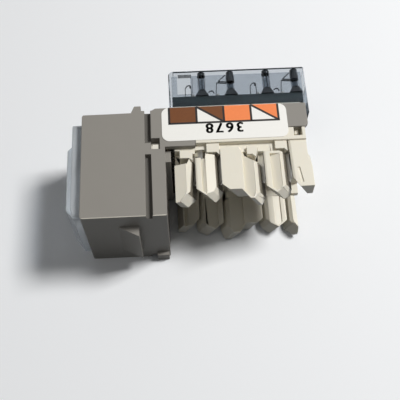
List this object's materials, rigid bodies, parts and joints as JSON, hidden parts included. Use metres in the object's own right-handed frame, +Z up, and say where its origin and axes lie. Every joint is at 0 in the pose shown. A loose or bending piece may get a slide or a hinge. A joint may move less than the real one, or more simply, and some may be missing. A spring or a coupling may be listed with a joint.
{
  "type": "keystone jack",
  "caption": "Right-angle modular keystone jack with a port, two rows of pointed wire posts, a smoked board cover and a clear pull-out port cap.",
  "frame": {"origin": "middle of the port block's side that the jack lies on", "axes": "+X from the port to the rear along the cable, +Y from the wire posts to the board cover, +Z up across the jack's width, lying on its side as in use on a bench"},
  "size_m": [0.0347, 0.0248, 0.0146],
  "materials": {
    "grey_frame": "fine moulded grey plastic",
    "white_housing": "moulded ivory white plastic",
    "carrier": "moulded white plastic",
    "board": "dark green solder mask",
    "smoked_cover": "smoked clear moulded plastic",
    "label": "coated paper label",
    "clear_cap": "clear moulded plastic",
    "contact_metal": "gold plated spring wire",
    "blade_metal": "tin plated bronze"
  },
  "bodies": {
    "jack": {"jack_frame": "grey_frame", "terminal_housing": "white_housing", "contact_carrier": "carrier", "wiring_board": "board", "board_cover": "smoked_cover", "wiring_label": "label", "contact_1": "contact_metal", "contact_2": "contact_metal", "contact_3": "contact_metal", "contact_4": "contact_metal", "contact_5": "contact_metal", "contact_6": "contact_metal", "contact_7": "contact_metal", "contact_8": "contact_metal", "idc_blade_1": "blade_metal", "idc_blade_2": "blade_metal", "idc_blade_3": "blade_metal", "idc_blade_4": "blade_metal", "idc_blade_5": "blade_metal", "idc_blade_6": "blade_metal", "idc_blade_7": "blade_metal", "idc_blade_8": "blade_metal"},
    "cap": {"dust_cap": "clear_cap"}
  },
  "joints": [
    {"name": "cap_pull", "type": "slide", "parent": "jack", "child": "cap", "axis": [-1, 0, 0], "range_m": [0, 0.006]}
  ]
}
